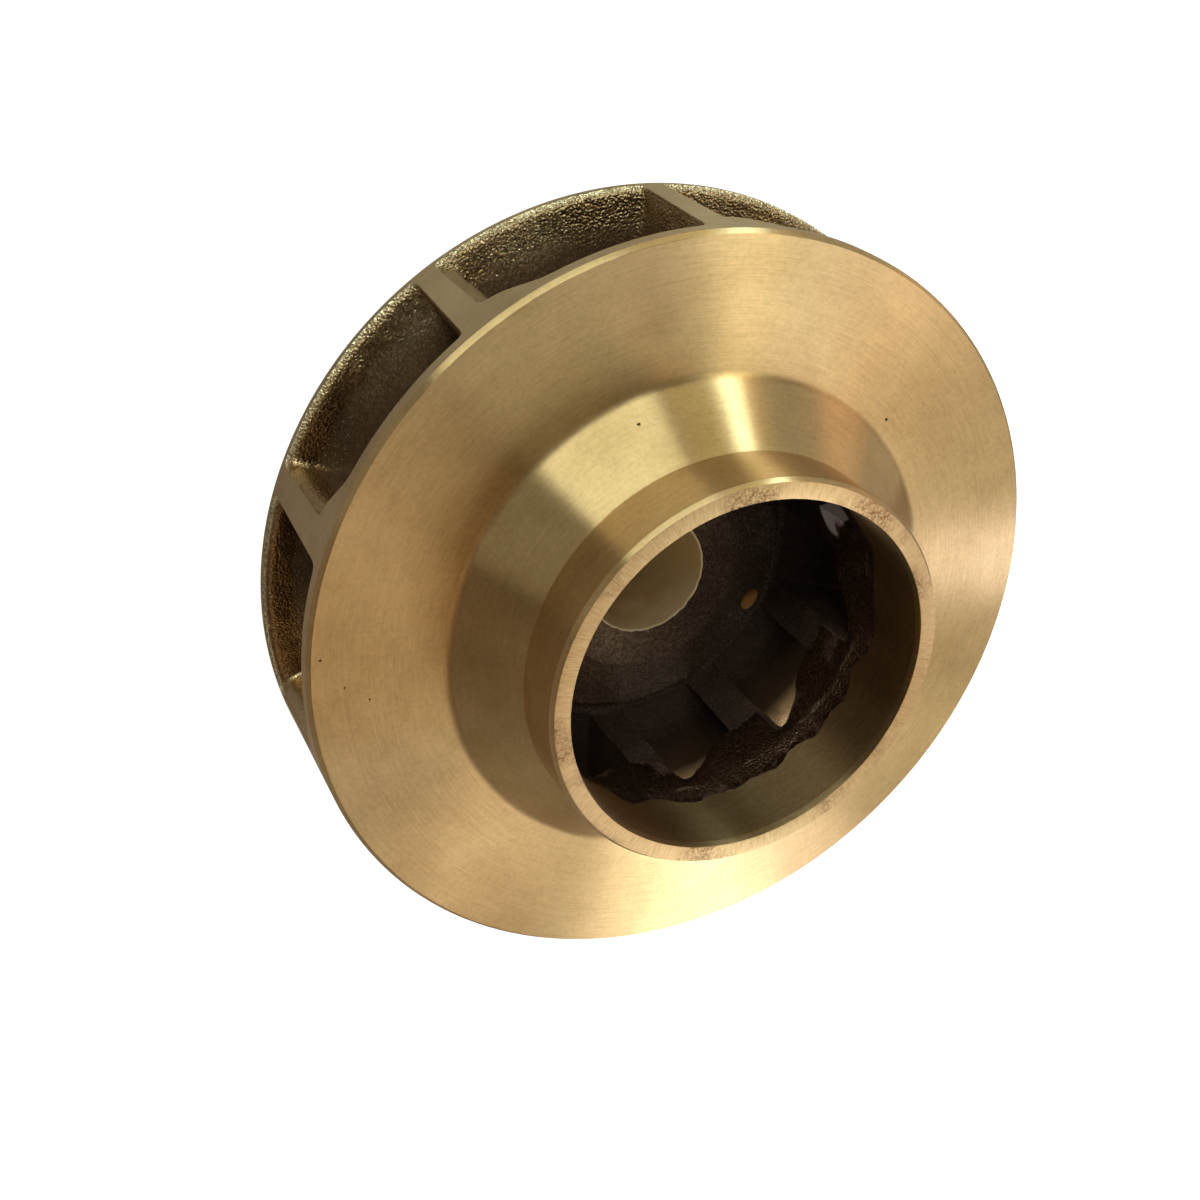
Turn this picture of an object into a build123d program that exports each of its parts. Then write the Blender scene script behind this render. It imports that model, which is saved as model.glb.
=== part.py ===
from build123d import *

import os

# Closed pump impeller: one bronze casting, turned on its outside, front face, neck, rim, eye,
# bore and rear face. Millimetres, +Z up. The origin is on the shaft axis in the end face of the
# rear boss, on which the impeller stands with its suction eye on top. Angles run anticlockwise
# seen from the eye side, from +X.

# ---- turned outside ---------------------------------------------------------------------------
outer_radius = 75.0          # both shrouds and the vane ends
body_width = 34.0            # rear shroud's back to front face
edge_break_radial = 0.75     # front outer edge, across the face
edge_break_axial = 1.0       # front outer edge, down the outside
rear_edge_break = 0.5

# ---- front shroud and suction neck ------------------------------------------------------------
front_rim_thickness = 3.5    # front shroud at the outside
cone_base_radius = 49.2      # where the cone leaves the front face
cone_height = 11.2
cone_base_round = 3.0
neck_radius = 39.1           # running surface for the wearing ring
neck_height = 24.0           # front face to the rim
rim_break_radial = 0.6
rim_break_axial = 1.0
eye_radius = 35.1            # turned part of the suction eye
eye_bore_depth = 15.0        # rim to where the rough casting starts
eye_break_radial = 0.3
eye_break_axial = 1.4
eye_wall_relief = 1.9        # the rough wall stands back this far from the turned eye
roof_turn_radius = 5.0       # the front shroud turns from the eye into the passages

# ---- rear shroud and hub ----------------------------------------------------------------------
rear_rim_thickness = 2.8     # rear shroud at the outside
boss_length = 8.0            # rear boss behind the rear shroud
boss_radius = 19.5
boss_root = 3.0
boss_chamfer = 1.0
bore_radius = 12.5
bore_chamfer = 0.8           # at the rear boss only
hub_rise = 13.0              # rear shroud's back to the hub nose
nose_radius = 20.6           # flat nose of the hub
nose_round = 1.2
groove_width = 1.4           # valley between the nose and the hub shoulder
groove_depth = 1.8
ridge_radius = 33.0          # outer edge of the hub shoulder
ridge_rise = 7.3             # rear shroud's back to that edge
ridge_round = 1.0
foot_run = 2.3               # shoulder edge to the passage floor
foot_round = 2.0

# ---- vanes ------------------------------------------------------------------------------------
vane_count = 10
vane_angle = 15.2            # direction of the first vane's leading side
vane_offset = 1.0            # that side lies this far ahead of the shaft axis
vane_thickness = 7.6
vane_inlet_setback = 0.9     # blunt inlet ends, behind the rough wall of the eye
vane_inlet_round = 1.2
tip_relief_length = 2.6      # trailing corner of each outer end, along the vane
tip_relief_width = 2.4       # and across it
vane_root_round = 1.2        # cast fillet at the passage floor

# ---- webs: the thick corner between each vane's trailing side and the front shroud --------------
web_start = 30.0             # section with the inlet sizes, this far along the vane
web_inlet_shelf = 4.5        # flat underside beyond the vane
web_inlet_width = 15.0
web_inlet_drop = 6.2         # underside below the passage roof
web_outlet_shelf = 0.6
web_outlet_width = 7.6
web_outlet_drop = 4.8
web_round = 1.5

# ---- drillings and keyway -----------------------------------------------------------------------
balance_hole_radius = 2.25
balance_hole_circle = 30.2   # radius of the circle they lie on
balance_hole_count = 3
balance_hole_angle = 332.5
key_width = 8.0
key_depth = 3.3              # beyond the bore
key_angle = 132.0

# ---- derived heights and radii --------------------------------------------------------------------
back_height = boss_length
floor_height = back_height + rear_rim_thickness
face_height = back_height + body_width
roof_height = face_height - front_rim_thickness
roof_turn_top = roof_height + roof_turn_radius
nose_height = back_height + hub_rise
ridge_height = back_height + ridge_rise
neck_base = face_height + cone_height
rim_height = face_height + neck_height
eye_step = rim_height - eye_bore_depth
eye_wall_radius = eye_radius + eye_wall_relief
vane_inlet_radius = eye_wall_radius + vane_inlet_setback
foot_radius = ridge_radius + foot_run
vane_trailing = vane_offset - vane_thickness
bite = 1.0                   # vanes and webs run this far into both shrouds
turning_stock = 2.0          # metal left on the raw casting's outside
raw_shroud_radius = outer_radius + turning_stock
raw_vane_radius = raw_shroud_radius + turning_stock


def turned(outline, rounds=()):
    """Solid of revolution from (radius, height) corners; rounds are (corner, radius) pairs."""
    with BuildPart() as casting:
        with BuildSketch(Plane.XZ) as section:
            with BuildLine():
                Polyline(*outline, close=True)
            make_face()
            for corner, radius in rounds:
                fillet(section.vertices().sort_by_distance(corner)[0], radius)
        revolve(axis=Axis.Z)
    return casting.part


def rear_casting():
    """Rear boss, rear shroud, hub shoulder and hub nose around the shaft bore."""
    nose_edge = (nose_radius, nose_height)
    groove = (nose_radius + groove_width, nose_height - groove_depth)
    ridge = (ridge_radius, ridge_height)
    foot = (foot_radius, floor_height)
    root = (boss_radius, back_height)
    outline = [
        (bore_radius, bore_chamfer),
        (bore_radius + bore_chamfer, 0),
        (boss_radius - boss_chamfer, 0),
        (boss_radius, boss_chamfer),
        root,
        (raw_shroud_radius, back_height),
        (raw_shroud_radius, floor_height),
        foot,
        ridge,
        groove,
        nose_edge,
        (bore_radius, nose_height),
    ]
    rounds = [
        (root, boss_root),
        (foot, foot_round),
        (ridge, ridge_round),
        (nose_edge, nose_round),
    ]
    return turned(outline, rounds)


def front_casting():
    """Front shroud, cone and suction neck around the eye."""
    cone_base = (cone_base_radius, face_height)
    roof_corner = (eye_wall_radius, roof_height)
    outline = [
        (raw_shroud_radius, roof_height),
        (raw_shroud_radius, face_height),
        cone_base,
        (neck_radius, neck_base),
        (neck_radius, rim_height - rim_break_axial),
        (neck_radius - rim_break_radial, rim_height),
        (eye_radius + eye_break_radial, rim_height),
        (eye_radius, rim_height - eye_break_axial),
        (eye_radius, eye_step),
        (eye_wall_radius, eye_step - eye_wall_relief / 2),
        roof_corner,
    ]
    return turned(outline, [(cone_base, cone_base_round), (roof_corner, roof_turn_radius)])


def passage_ring(inner_radius):
    """The ring between the shrouds that vanes and webs may fill, from inner_radius outwards."""
    return turned(
        [
            (inner_radius, floor_height - bite),
            (raw_vane_radius, floor_height - bite),
            (raw_vane_radius, roof_height + bite),
            (eye_wall_radius + roof_turn_radius, roof_height + bite),
            (eye_wall_radius + bite, roof_turn_top),
            (inner_radius, roof_turn_top),
        ]
    )


def vane():
    """One straight vane along +X with a blunt rounded inlet end."""
    with BuildPart() as blade:
        with BuildSketch() as plan:
            with BuildLine():
                Polyline(
                    (0, vane_offset),
                    (raw_vane_radius, vane_offset),
                    (raw_vane_radius, vane_trailing),
                    (0, vane_trailing),
                    close=True,
                )
            make_face()
            Circle(vane_inlet_radius, mode=Mode.SUBTRACT)
            fillet(plan.vertices().sort_by(Axis.X)[:2], vane_inlet_round)
        extrude(amount=roof_turn_top)
    return blade.part & passage_ring(vane_inlet_radius)


def tip_relief():
    """What is missing from the trailing corner of a vane's outer end."""
    beyond = 2 * turning_stock
    with BuildPart() as corner:
        with BuildSketch(Plane.XY.offset(floor_height)):
            with BuildLine():
                Polyline(
                    (outer_radius - tip_relief_length, vane_trailing),
                    (outer_radius, vane_trailing + tip_relief_width),
                    (outer_radius + beyond, vane_trailing + tip_relief_width),
                    (outer_radius + beyond, vane_trailing),
                    close=True,
                )
            make_face()
        extrude(amount=roof_height - floor_height)
    return corner.part


def web_section(distance, shelf, width, drop, diagonal_top):
    """Section of a web, square to its vane, at a distance along the vane."""
    underside = roof_height - drop
    leading = vane_offset - vane_inlet_round
    with BuildSketch(Plane.YZ.offset(distance)) as section:
        with BuildLine():
            Polyline(
                (leading, roof_turn_top),
                (leading, underside),
                (vane_trailing - shelf, underside),
                (vane_trailing - width, diagonal_top),
                (vane_trailing - width, roof_turn_top),
                close=True,
            )
        make_face()
        corner = (vane_trailing - shelf, underside)
        fillet(section.vertices().sort_by_distance(corner)[0], web_round)
    return section.sketch


def web():
    """The corner web of one vane, which narrows from the eye to the outside."""
    inlet = web_section(
        web_start, web_inlet_shelf, web_inlet_width, web_inlet_drop, roof_turn_top - bite
    )
    outlet = web_section(
        raw_vane_radius, web_outlet_shelf, web_outlet_width, web_outlet_drop, roof_height
    )
    return loft([inlet, outlet]) & passage_ring(eye_wall_radius)


def turned_outside():
    """All that the turning leaves: the space inside the outside diameter and its edge breaks."""
    return turned(
        [
            (0, -bite),
            (outer_radius - 2 * rear_edge_break, -bite),
            (outer_radius - 2 * rear_edge_break, back_height - rear_edge_break),
            (outer_radius, back_height + rear_edge_break),
            (outer_radius, face_height - edge_break_axial),
            (outer_radius - 2 * edge_break_radial, face_height + edge_break_axial),
            (outer_radius - 2 * edge_break_radial, rim_height + bite),
            (0, rim_height + bite),
        ]
    )


def raw_casting():
    """Both shrouds joined by the ring of vanes and their webs."""
    ring = PolarLocations(0, vane_count, start_angle=vane_angle)
    blade = vane() + web()
    casting = rear_casting() + front_casting() + [place * blade for place in ring]
    on_floor = casting.edges().filter_by_position(Axis.Z, floor_height, floor_height)
    casting = fillet(on_floor.filter_by(GeomType.LINE), vane_root_round)
    return casting - [place * tip_relief() for place in ring]


def balance_holes():
    """Drillings through the hub shoulder, from the rear face."""
    height = 2 * nose_height
    circle = PolarLocations(balance_hole_circle, balance_hole_count, balance_hole_angle)
    return [place * Cylinder(balance_hole_radius, height) for place in circle]


def keyway():
    """Keyway along the whole bore."""
    reach = bore_radius + key_depth
    slot = Pos(reach / 2, 0, 0) * Box(reach, key_width, 3 * nose_height)
    return Rot(0, 0, key_angle) * slot


impeller = (raw_casting() & turned_outside()) - balance_holes() - keyway()
impeller.label = "impeller"

os.makedirs("parts", exist_ok=True)
export_step(impeller, "parts/impeller.step")
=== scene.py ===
"""A closed bronze pump impeller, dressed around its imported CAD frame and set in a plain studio."""

import math

import bpy
import numpy as np
from mathutils import Matrix, Vector


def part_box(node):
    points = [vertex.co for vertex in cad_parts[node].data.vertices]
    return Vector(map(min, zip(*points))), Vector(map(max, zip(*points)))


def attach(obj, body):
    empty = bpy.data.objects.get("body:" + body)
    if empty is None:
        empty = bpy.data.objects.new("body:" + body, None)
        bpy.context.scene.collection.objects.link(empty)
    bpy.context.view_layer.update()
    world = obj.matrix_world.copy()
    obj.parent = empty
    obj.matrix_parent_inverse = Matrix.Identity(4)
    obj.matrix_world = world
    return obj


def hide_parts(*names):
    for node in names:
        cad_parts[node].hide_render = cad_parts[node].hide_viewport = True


bl_info = {
    "name": "Pump impeller",
    "version": (1, 0, 0),
    "blender": (4, 5, 0),
    "location": "3D View > Sidebar > Impeller",
    "description": "A closed bronze pump impeller, turned outside and sand cast inside",
    "category": "Add Mesh",
}

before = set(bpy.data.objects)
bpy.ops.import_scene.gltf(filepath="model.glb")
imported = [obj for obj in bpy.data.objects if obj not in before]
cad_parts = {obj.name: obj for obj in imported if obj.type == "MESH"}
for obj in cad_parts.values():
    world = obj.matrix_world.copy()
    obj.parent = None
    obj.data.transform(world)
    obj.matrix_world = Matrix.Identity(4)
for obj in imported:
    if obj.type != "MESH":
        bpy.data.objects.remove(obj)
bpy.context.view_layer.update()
LOW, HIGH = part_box("impeller")
MM = 0.001


# ---- what a user would change --------------------


def length(label, note, millimetres):
    """A length property whose default is given in millimetres."""
    return bpy.props.FloatProperty(
        name=label, description=note, default=millimetres * MM, min=0.0, unit="LENGTH"
    )


def angle(label, note, degrees):
    """An angle property whose default is given in degrees."""
    return bpy.props.FloatProperty(
        name=label, description=note, default=math.radians(degrees), subtype="ANGLE"
    )


def colour(label, note, red, green, blue):
    """An opaque colour property."""
    return bpy.props.FloatVectorProperty(
        name=label,
        description=note,
        default=(red, green, blue, 1.0),
        size=4, min=0.0, max=1.0, subtype="COLOR",
    )


class ImpellerSizes(bpy.types.PropertyGroup):
    """Sizes of the casting, as its CAD source has them."""

    outer_radius: length("Outer radius", "Radius of both shrouds", HIGH.x / MM)
    face_height: length("Front face", "Rear face to front face", 34.0)
    edge_across: length("Edge break across", "Front edge break, on the face", 0.75)
    edge_down: length("Edge break down", "Front edge break, on the outside", 1.0)
    roof_height: length("Passage roof", "Rear face to the front shroud's inside", 30.5)
    floor_height: length("Passage floor", "Rear face to the rear shroud's inside", 2.8)
    rear_break: length("Rear edge break", "Rear edge break", 0.5)
    lip_drop: length("Rear lip", "Fall of the floor's outer lip", 0.95)
    lip_run: length("Rear lip run", "Length of that fall", 1.1)
    cone_radius: length("Cone base", "Radius where the cone leaves the face", 49.2)
    cone_round: length("Cone root", "Fillet between face and cone", 2.4)
    neck_base: length("Neck base", "Rear face to the top of the cone", 45.2)
    neck_radius: length("Neck radius", "Running surface of the neck", 39.1)
    rim_height: length("Rim height", "Rear face to the rim of the neck", HIGH.z / MM - 8.0)
    boss_length: length("Boss length", "Rear boss behind the rear face", 8.0)
    boss_radius: length("Boss radius", "Radius of the rear boss", 19.5)
    boss_root: length("Boss root", "Fillet between boss and rear face", 3.0)
    eye_radius: length("Eye radius", "Turned part of the suction eye", 35.1)
    eye_step: length("Turned eye end", "Height at which the turning stops", 43.0)
    wall_radius: length("Cast eye wall", "Radius of the rough wall", 37.0)
    roof_turn: length("Roof turn", "Round from the eye wall to the roof", 5.0)
    inlet_radius: length("Inlet radius", "Blunt inlet ends of the vanes", 37.9)
    foot_radius: length("Hub foot", "Where the hub meets the floor", 35.3)
    ridge_radius: length("Ridge radius", "Raised edge of the hub shoulder", 33.0)
    ridge_height: length("Ridge height", "Rear face to that edge", 7.3)
    nose_radius: length("Nose radius", "Flat nose of the hub", 20.6)
    hub_height: length("Hub height", "Rear face to the nose", 13.0)
    groove_width: length("Groove width", "Valley round the nose", 1.4)
    groove_depth: length("Groove depth", "Depth of that valley", 1.8)
    bore_radius: length("Bore radius", "Shaft bore", 12.5)
    bore_chamfer: length("Bore chamfer", "Chamfer at both ends of the bore", 0.8)
    key_width: length("Key width", "Width of the keyway", 8.0)
    key_depth: length("Key depth", "Keyway beyond the bore", 3.3)
    vane_thickness: length("Vane thickness", "Thickness of a vane", 7.6)
    vane_lead: length("Vane lead", "Leading side ahead of the axis", 0.75)
    vane_draft: length("Vane draft", "Lean of the leading side", 0.55)
    relief_length: length("Tip relief", "Relieved corner along the vane", 2.8)
    hole_radius: length("Hole radius", "Balance hole", 2.25)
    hole_circle: length("Hole circle", "Radius of their circle", 30.2)
    unevenness: length("Unevenness", "Swell of the cast surfaces", 0.2)
    vane_count: bpy.props.IntProperty(
        name="Vanes", description="Number of vanes", default=10, min=3, max=12
    )
    hole_count: bpy.props.IntProperty(
        name="Balance holes", description="Number of balance holes", default=3, min=1
    )


class BronzeFinish(bpy.types.PropertyGroup):
    """Colours and grain of the bronze."""

    turned: colour("Turned bronze", "Turned faces", 0.70, 0.483, 0.25)
    cast: colour("Cast bronze", "Sand-cast surfaces", 0.46, 0.3, 0.155)
    rim: colour("Rim end", "Coarsely faced end of the neck", 0.63, 0.42, 0.215)
    side: colour("Turned side", "Outside diameter", 0.66, 0.50, 0.305)
    bored: colour("Bored bronze", "Shaft bore and balance holes", 0.73, 0.6, 0.36)
    eye: colour("Turned eye", "Inside of the neck, dull", 0.40, 0.262, 0.138)
    grain: length("Sand grain", "Size of a sand grain", 0.6)


class StudioSettings(bpy.types.PropertyGroup):
    """Floor, lamps and camera."""

    floor: colour("Floor", "Plain pale floor", 0.86, 0.855, 0.85)
    table: colour("Table", "Floor as the bronze mirrors it", 0.34, 0.31, 0.26)
    walls: colour("Walls", "Dim walls that the bronze mirrors", 0.09, 0.07, 0.055)
    azimuth: angle("Camera azimuth", "Direction from the impeller to the camera", 125.083)
    elevation: angle("Camera elevation", "Height of the camera above the horizon", 52.137)
    roll: angle("Camera roll", "Turn of the camera about its own view", -138.342)
    place: bpy.props.FloatVectorProperty(
        name="Camera place", description="Where the camera stands",
        default=(-0.12287, 0.15030, 0.27835), size=3, subtype="TRANSLATION",
    )
    lens: bpy.props.FloatProperty(
        name="Focal length", description="On a 36 mm sensor, in millimetres", default=47.97
    )
    shift: bpy.props.FloatVectorProperty(
        name="Lens shift", description="Across and up, in widths of the view",
        default=(-0.00867, 0.03363), size=2,
    )


GROUPS = {
    "impeller_sizes": ImpellerSizes,
    "impeller_finish": BronzeFinish,
    "impeller_studio": StudioSettings,
}


# ---- shapes worked out with numpy --------------------

# Kinds of face, which are also the numbers of the finishes.
TURNED, CAST, RIM_END, SIDE, BORED, EYE = range(6)

COLUMNS = 360                # round the axis, one for each degree
FIRST_COLUMN = 12.0          # angle of the first
VANE_ANGLE = 15.2
VANE_OFFSET = 1.0            # leading side ahead of the axis in the CAD source
HOLE_ANGLE = 332.5
KEY_ANGLE = 132.0
TIP_RELIEF = (2.2, 2.8, 3.3, 2.4, 0.9, 1.5, 2.0, 1.4, 1.8, 2.4)  # by vane
SHARP_ANGLE = 38.0           # edges sharper than this are shaded as edges

# Rectangles that the passages' grids start and end on: heights on the outside diameter, and in
# the eye the wall's top and the radius of its foot on the passage floor. The shares say how far
# from the outer rectangle to the passage's opening the grid's first rows lie.
FRAME_TOP = 32.9
FRAME_FOOT = 0.5
EYE_FRAME_TOP = 36.0
EYE_FRAME_FOOT = 36.9
SIDE_STEPS = 24              # points down each side
MOUTH_SHARES = (0.0, 0.35, 0.7, 0.9, 0.975)

# Corner webs: where they start along the vane, how far they run, and each size as its value at
# the start and its loss over that run.
WEB_START = 30.0
WEB_RUN = 49.0
WEB_SHELF = (4.5, 3.9)
WEB_WIDTH = (15.0, 7.4)
WEB_DROP = (6.2, 1.4)
WEB_TOP = (34.5, 4.0)

# The band of the hub's shoulder, and the columns, that a balance hole's own grid takes over.
HOLE_BAND = (27.4, 32.5)
HOLE_ROWS = 7
HOLE_COLUMNS = 17


def in_mm(group):
    """All lengths of a property group in millimetres, as a plain dictionary."""
    values = {}
    for name, prop in group.bl_rna.properties.items():
        if prop.type == "FLOAT" and not prop.is_array:
            values[name] = getattr(group, name) / MM
        elif prop.type == "INT":
            values[name] = getattr(group, name)
    return values


def ease(t):
    """0 below 0, 1 above 1, and 3t^2 - 2t^3 between."""
    t = np.clip(t, 0.0, 1.0)
    return t * t * (3.0 - 2.0 * t)


def soft_min(a, b, k):
    """The smaller of a and b, rounded over about k where they cross."""
    return 0.5 * (a + b - np.sqrt((a - b) ** 2 + k * k))


def soft_max(a, b, k):
    """The larger of a and b, rounded over about k where they cross."""
    return 0.5 * (a + b + np.sqrt((a - b) ** 2 + k * k))


def waves(points, size, seed, count=20):
    """Smooth unevenness of about unit strength: the sum over seeded directions d and phases p of
    sin(2 pi d.x / size + p), divided by the root of their count."""
    rng = np.random.default_rng(seed)
    direction = rng.normal(size=(count, 3))
    direction /= np.linalg.norm(direction, axis=1)[:, None]
    turn = 2 * np.pi / (size * rng.uniform(0.7, 1.5, count))
    phase = rng.uniform(0, 2 * np.pi, count)
    return np.sin(points @ (direction * turn[:, None]).T + phase).sum(-1) / math.sqrt(count)


def ring_waves(angle, size, seed, count=14):
    """Unevenness round a ring, of about unit strength and without a seam: the sum of
    sin(m a + p) over seeded whole numbers m near 360 / size and phases p."""
    rng = np.random.default_rng(seed)
    m = np.rint(360.0 / (size * rng.uniform(0.6, 1.6, count)))
    phase = rng.uniform(0, 2 * np.pi, count)
    a = np.radians(angle)[..., None]
    return np.sin(a * m + phase).sum(-1) / math.sqrt(count)


def polar(radius, angle, height):
    """Points (r cos a, r sin a, z), with a in degrees."""
    radius, angle, height = np.broadcast_arrays(radius, angle, height)
    a = np.radians(angle)
    return np.stack([radius * np.cos(a), radius * np.sin(a), height], axis=-1)


def rounded(corners, steps=5):
    """Profile through (r, z, radius) corners: each corner with a radius is replaced by the arc
    that touches both of its sides."""
    out = []
    for i, (r, z, radius) in enumerate(corners):
        here = np.array([r, z])
        if radius <= 0 or i in (0, len(corners) - 1):
            out.append(here)
            continue
        back = np.array(corners[i - 1][:2]) - here
        ahead = np.array(corners[i + 1][:2]) - here
        back /= np.linalg.norm(back)
        ahead /= np.linalg.norm(ahead)
        half = math.acos(np.clip(back @ ahead, -1, 1)) / 2
        middle = here + (back + ahead) / np.linalg.norm(back + ahead) * radius / math.sin(half)
        reach = radius / math.tan(half)
        start, end = here + back * reach - middle, here + ahead * reach - middle
        swing = math.pi - 2 * half
        for t in np.linspace(0, 1, steps):
            arm = (math.sin((1 - t) * swing) * start + math.sin(t * swing) * end) / math.sin(swing)
            out.append(middle + arm)
    return np.array(out)


def loop_fractions(across, down):
    """Fractions across and up for the points of a loop that runs along the top, down the far
    side, back along the bottom and up the near side."""
    a = np.arange(across) / across
    d = np.arange(down) / down
    side = np.concatenate([a, np.ones(down), 1 - a, np.zeros(down)])
    rise = np.concatenate([np.ones(across), 1 - d, np.zeros(across), d])
    return side, rise


def calm(loop, times):
    """A closed loop with its corners rounded: each point becomes a quarter of both neighbours
    and half of itself, several times."""
    for _ in range(times):
        loop = 0.25 * np.roll(loop, 1, axis=0) + 0.5 * loop + 0.25 * np.roll(loop, -1, axis=0)
    return loop


def web_height(v, s):
    """Underside of the corner web and of the roof over points given as radius r, angle a and
    the angle of the vane that the web hangs beside. Beside the trailing side the web hangs at
    its own drop over a flat shelf, then rises along a straight slope to the roof, which turns
    up into the eye on a round."""
    r, a, ahead = v
    gap = -r * np.sin(np.radians(a - ahead)) - (s["vane_thickness"] - VANE_OFFSET)
    along = np.clip((r * np.cos(np.radians(a - ahead)) - WEB_START) / WEB_RUN, 0, 1)
    shelf, width, drop, top = (
        first - loss * along for first, loss in (WEB_SHELF, WEB_WIDTH, WEB_DROP, WEB_TOP)
    )
    under = s["roof_height"] - drop
    slope = under + (gap - shelf) / (width - shelf) * (top - under)
    web = soft_max(under, slope, 0.9)
    turn = s["roof_turn"]
    inside = np.clip(s["wall_radius"] + turn - r, 0, turn)
    roof = s["roof_height"] + turn - np.sqrt(turn**2 - inside**2)
    return soft_min(web, roof, 0.8)


def passage_section(radius, index, s, side, rise):
    """Loop round one passage on the cylinder of a given radius: angles between the leading side
    of its vane and the trailing side of the next, heights between the floor and the roof."""
    behind = VANE_ANGLE + 360.0 / s["vane_count"] * index
    ahead = behind + 360.0 / s["vane_count"]
    lead = s["vane_lead"] + s["vane_draft"] * (2 * rise - 1)
    relief = TIP_RELIEF[(index + 1) % len(TIP_RELIEF)]
    cut = ease((radius - s["outer_radius"] + s["relief_length"]) / s["relief_length"])
    nick = 0.22 * ring_waves(rise * 90.0 + 40.0 * index, 9.0, 5) * cut
    trail = s["vane_thickness"] - VANE_OFFSET - (relief + nick) * cut**1.3
    near = behind + np.degrees(np.arcsin(lead / radius))
    far = ahead - np.degrees(np.arcsin(trail / radius))
    angle = near + (far - near) * side
    lip = ease((radius - s["outer_radius"] + s["lip_run"]) / s["lip_run"])
    floor = s["floor_height"] - s["lip_drop"] * lip
    roof = web_height((radius, angle, ahead), s)
    return angle, floor + (roof - floor) * rise


def eye_wall(angle, reach, window, s):
    """Points of the rough wall in the eye. Reach is the distance along the wall: along the floor
    to the vane ends, up their blunt ends, then over a step to the cast wall above the windows."""
    floor_run = s["inlet_radius"] - EYE_FRAME_FOOT
    height = s["floor_height"] + soft_max(reach - floor_run, 0.0, 0.7)
    radius = EYE_FRAME_FOOT + soft_min(reach, floor_run, 0.7)
    own_web = s["roof_height"] - WEB_DROP[0]
    edge = np.where((angle < window[0]) | (angle > window[1]), own_web, window[2])
    rise = np.where(edge > own_web + 4.0, 2.9, 1.2)
    t = np.clip((height - edge) / rise, 0, 1)
    step = (s["inlet_radius"] - s["wall_radius"]) * np.sqrt(1 - (1 - t) ** 2)
    return radius - step, height


def passage_cell(index, s):
    """One passage as a single grid: the loop runs round the passage, the rows run inwards from a
    rectangle on the outside diameter, over its mouth, along the passage, through the window in the
    eye and out to a rectangle on the eye's rough wall. Neighbouring rectangles share their sides."""
    across = COLUMNS // s["vane_count"]
    side, rise = loop_fractions(across, SIDE_STEPS)
    first = FIRST_COLUMN + across * index
    behind = VANE_ANGLE + 360.0 / s["vane_count"] * index
    ahead = behind + 360.0 / s["vane_count"]
    rows, cast = [], []

    frame_angle = first + across * side
    frame_height = FRAME_FOOT + (FRAME_TOP - FRAME_FOOT) * rise
    outer = s["outer_radius"]
    angle, height = passage_section(outer, index, s, side, rise)
    mouth = calm(np.stack([angle, height], axis=1), 2)
    for share in MOUTH_SHARES:
        a = frame_angle + (mouth[:, 0] - frame_angle) * share
        z = frame_height + (mouth[:, 1] - frame_height) * share
        rows.append(polar(outer, a, z))
        cast.append(0.0)
    inward = [outer - d for d in (0.12, 0.4, 0.8, 1.3, 2.0, 2.9)]
    inward += list(np.linspace(outer - 4.2, 43.2, 22))
    inward += [42.2, 41.2, 40.3, 39.5, 38.8, 38.3, s["inlet_radius"]]
    for radius in inward:
        angle, height = passage_section(radius, index, s, side, rise)
        loop = calm(np.stack([angle, height], axis=1), 3 if radius < outer - 1 else 2)
        rows.append(polar(radius, loop[:, 0], loop[:, 1]))
        cast.append(min(1.0, (outer - radius) / 3.0))

    window = loop
    floor_run = s["inlet_radius"] - EYE_FRAME_FOOT
    whole = floor_run + EYE_FRAME_TOP - s["floor_height"]
    window_reach = floor_run + np.maximum(window[:, 1] - s["floor_height"], 0.0)
    left, right = window[:, 0].min(), window[:, 0].max()
    for share in (0.05, 0.16, 0.35, 0.6, 0.8, 1.0):
        a = window[:, 0] + (frame_angle - window[:, 0]) * share
        reach = window_reach + (whole * rise - window_reach) * share
        edge = web_height((s["inlet_radius"], np.clip(a, left, right), ahead), s)
        radius, z = eye_wall(a, reach, (left, right, edge), s)
        if share == 1.0:
            bottom, top = rise == 0, rise == 1
            radius = np.where(bottom, EYE_FRAME_FOOT, np.where(top, s["wall_radius"], radius))
            z = np.where(bottom, s["floor_height"], np.where(top, EYE_FRAME_TOP, z))
        rows.append(polar(radius, a, z))
        cast.append(1.0)
    return np.array(rows), np.array(cast)


def outer_profile(s):
    """Turned outside from the outer edge over the face, cone, neck and rim into the eye."""
    face, rim = s["face_height"], s["rim_height"]
    outer, neck, eye = s["outer_radius"], s["neck_radius"], s["eye_radius"]
    corners = [
        (outer, FRAME_TOP, 0),
        (outer, face - s["edge_down"], 0.2),
        (outer - s["edge_across"], face, 0.2),
        (s["cone_radius"], face, s["cone_round"]),
        (neck, s["neck_base"], 0.5),
        (neck, rim - 1.0, 0.15),
        (neck - 0.6, rim, 0.15),
        (eye + 0.3, rim, 0.12),
        (eye, rim - 1.4, 0.2),
        (eye, s["eye_step"] + 4.0, 0),
    ]
    return rounded(corners)


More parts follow.
